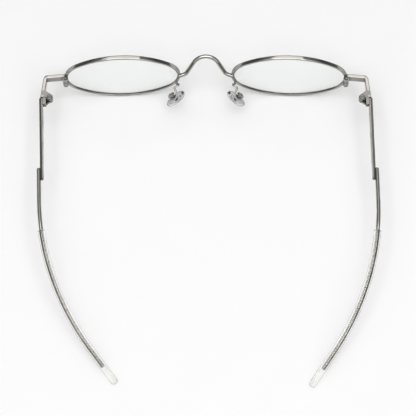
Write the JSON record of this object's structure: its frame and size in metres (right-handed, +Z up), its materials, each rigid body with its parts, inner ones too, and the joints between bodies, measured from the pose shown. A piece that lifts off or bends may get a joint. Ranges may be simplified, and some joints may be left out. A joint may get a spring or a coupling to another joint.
{
  "type": "oval eyeglasses",
  "caption": "Thin wire eyeglasses with oval lenses, an arched wire bridge, rocking clear nose pads and folding temples that end in clear sleeves.",
  "frame": {"origin": "on the table, midway between the two lens centres and under the middle of the front, with the glasses open and resting on both rims and both temple ends", "axes": "+Z up, -Y the way the front faces, +Y along the open temples, +X the wearer's left"},
  "size_m": [0.1428, 0.1392, 0.0318],
  "materials": {
    "frame_metal": "polished nickel-silver wire and strip",
    "screw_metal": "turned steel screws with slotted heads",
    "lens": "clear lens with a very faint grey-green cast",
    "pad_clear": "clear soft silicone",
    "tip_clear": "clear moulded sleeve with the metal core showing through"
  },
  "bodies": {
    "front": {"rim_left": "frame_metal", "rim_right": "frame_metal", "lens_left": "lens", "lens_right": "lens", "rim_lock_upper_left": "frame_metal", "rim_lock_upper_right": "frame_metal", "rim_lock_lower_left": "frame_metal", "rim_lock_lower_right": "frame_metal", "rim_lock_screw_left": "screw_metal", "rim_lock_screw_right": "screw_metal", "endpiece_left": "frame_metal", "endpiece_right": "frame_metal", "hinge_front_left": "frame_metal", "hinge_front_right": "frame_metal", "hinge_screw_left": "screw_metal", "hinge_screw_right": "screw_metal", "pad_arm_left": "frame_metal", "pad_arm_right": "frame_metal", "pad_box_left": "frame_metal", "pad_box_right": "frame_metal", "pad_screw_left": "screw_metal", "pad_screw_right": "screw_metal", "bridge": "frame_metal"},
    "temple_left": {"temple_bar_left": "frame_metal", "temple_hinge_left": "frame_metal", "temple_wire_left": "frame_metal", "temple_tip_left": "tip_clear"},
    "temple_right": {"temple_bar_right": "frame_metal", "temple_hinge_right": "frame_metal", "temple_wire_right": "frame_metal", "temple_tip_right": "tip_clear"},
    "pad_left": {"nose_pad_left": "pad_clear"},
    "pad_right": {"nose_pad_right": "pad_clear"}
  },
  "joints": [
    {"name": "temple_left_fold", "type": "hinge", "parent": "front", "child": "temple_left", "pos_m": [0.0656, 0.0109, 0.01721], "axis": [0, 0, 1], "range_deg": [-3, 76]},
    {"name": "temple_right_fold", "type": "hinge", "parent": "front", "child": "temple_right", "pos_m": [-0.0656, 0.0109, 0.01721], "axis": [0, 0, -1], "range_deg": [0, 76]},
    {"name": "pad_left_rock", "type": "hinge", "parent": "front", "child": "pad_left", "pos_m": [0.0141, 0.00753, 0.01138], "axis": [0.2112, 0.9325, 0.293], "range_deg": [-10, 10]},
    {"name": "pad_right_rock", "type": "hinge", "parent": "front", "child": "pad_right", "pos_m": [-0.0141, 0.00753, 0.01138], "axis": [0.2112, -0.9325, -0.293], "range_deg": [-10, 10]}
  ]
}
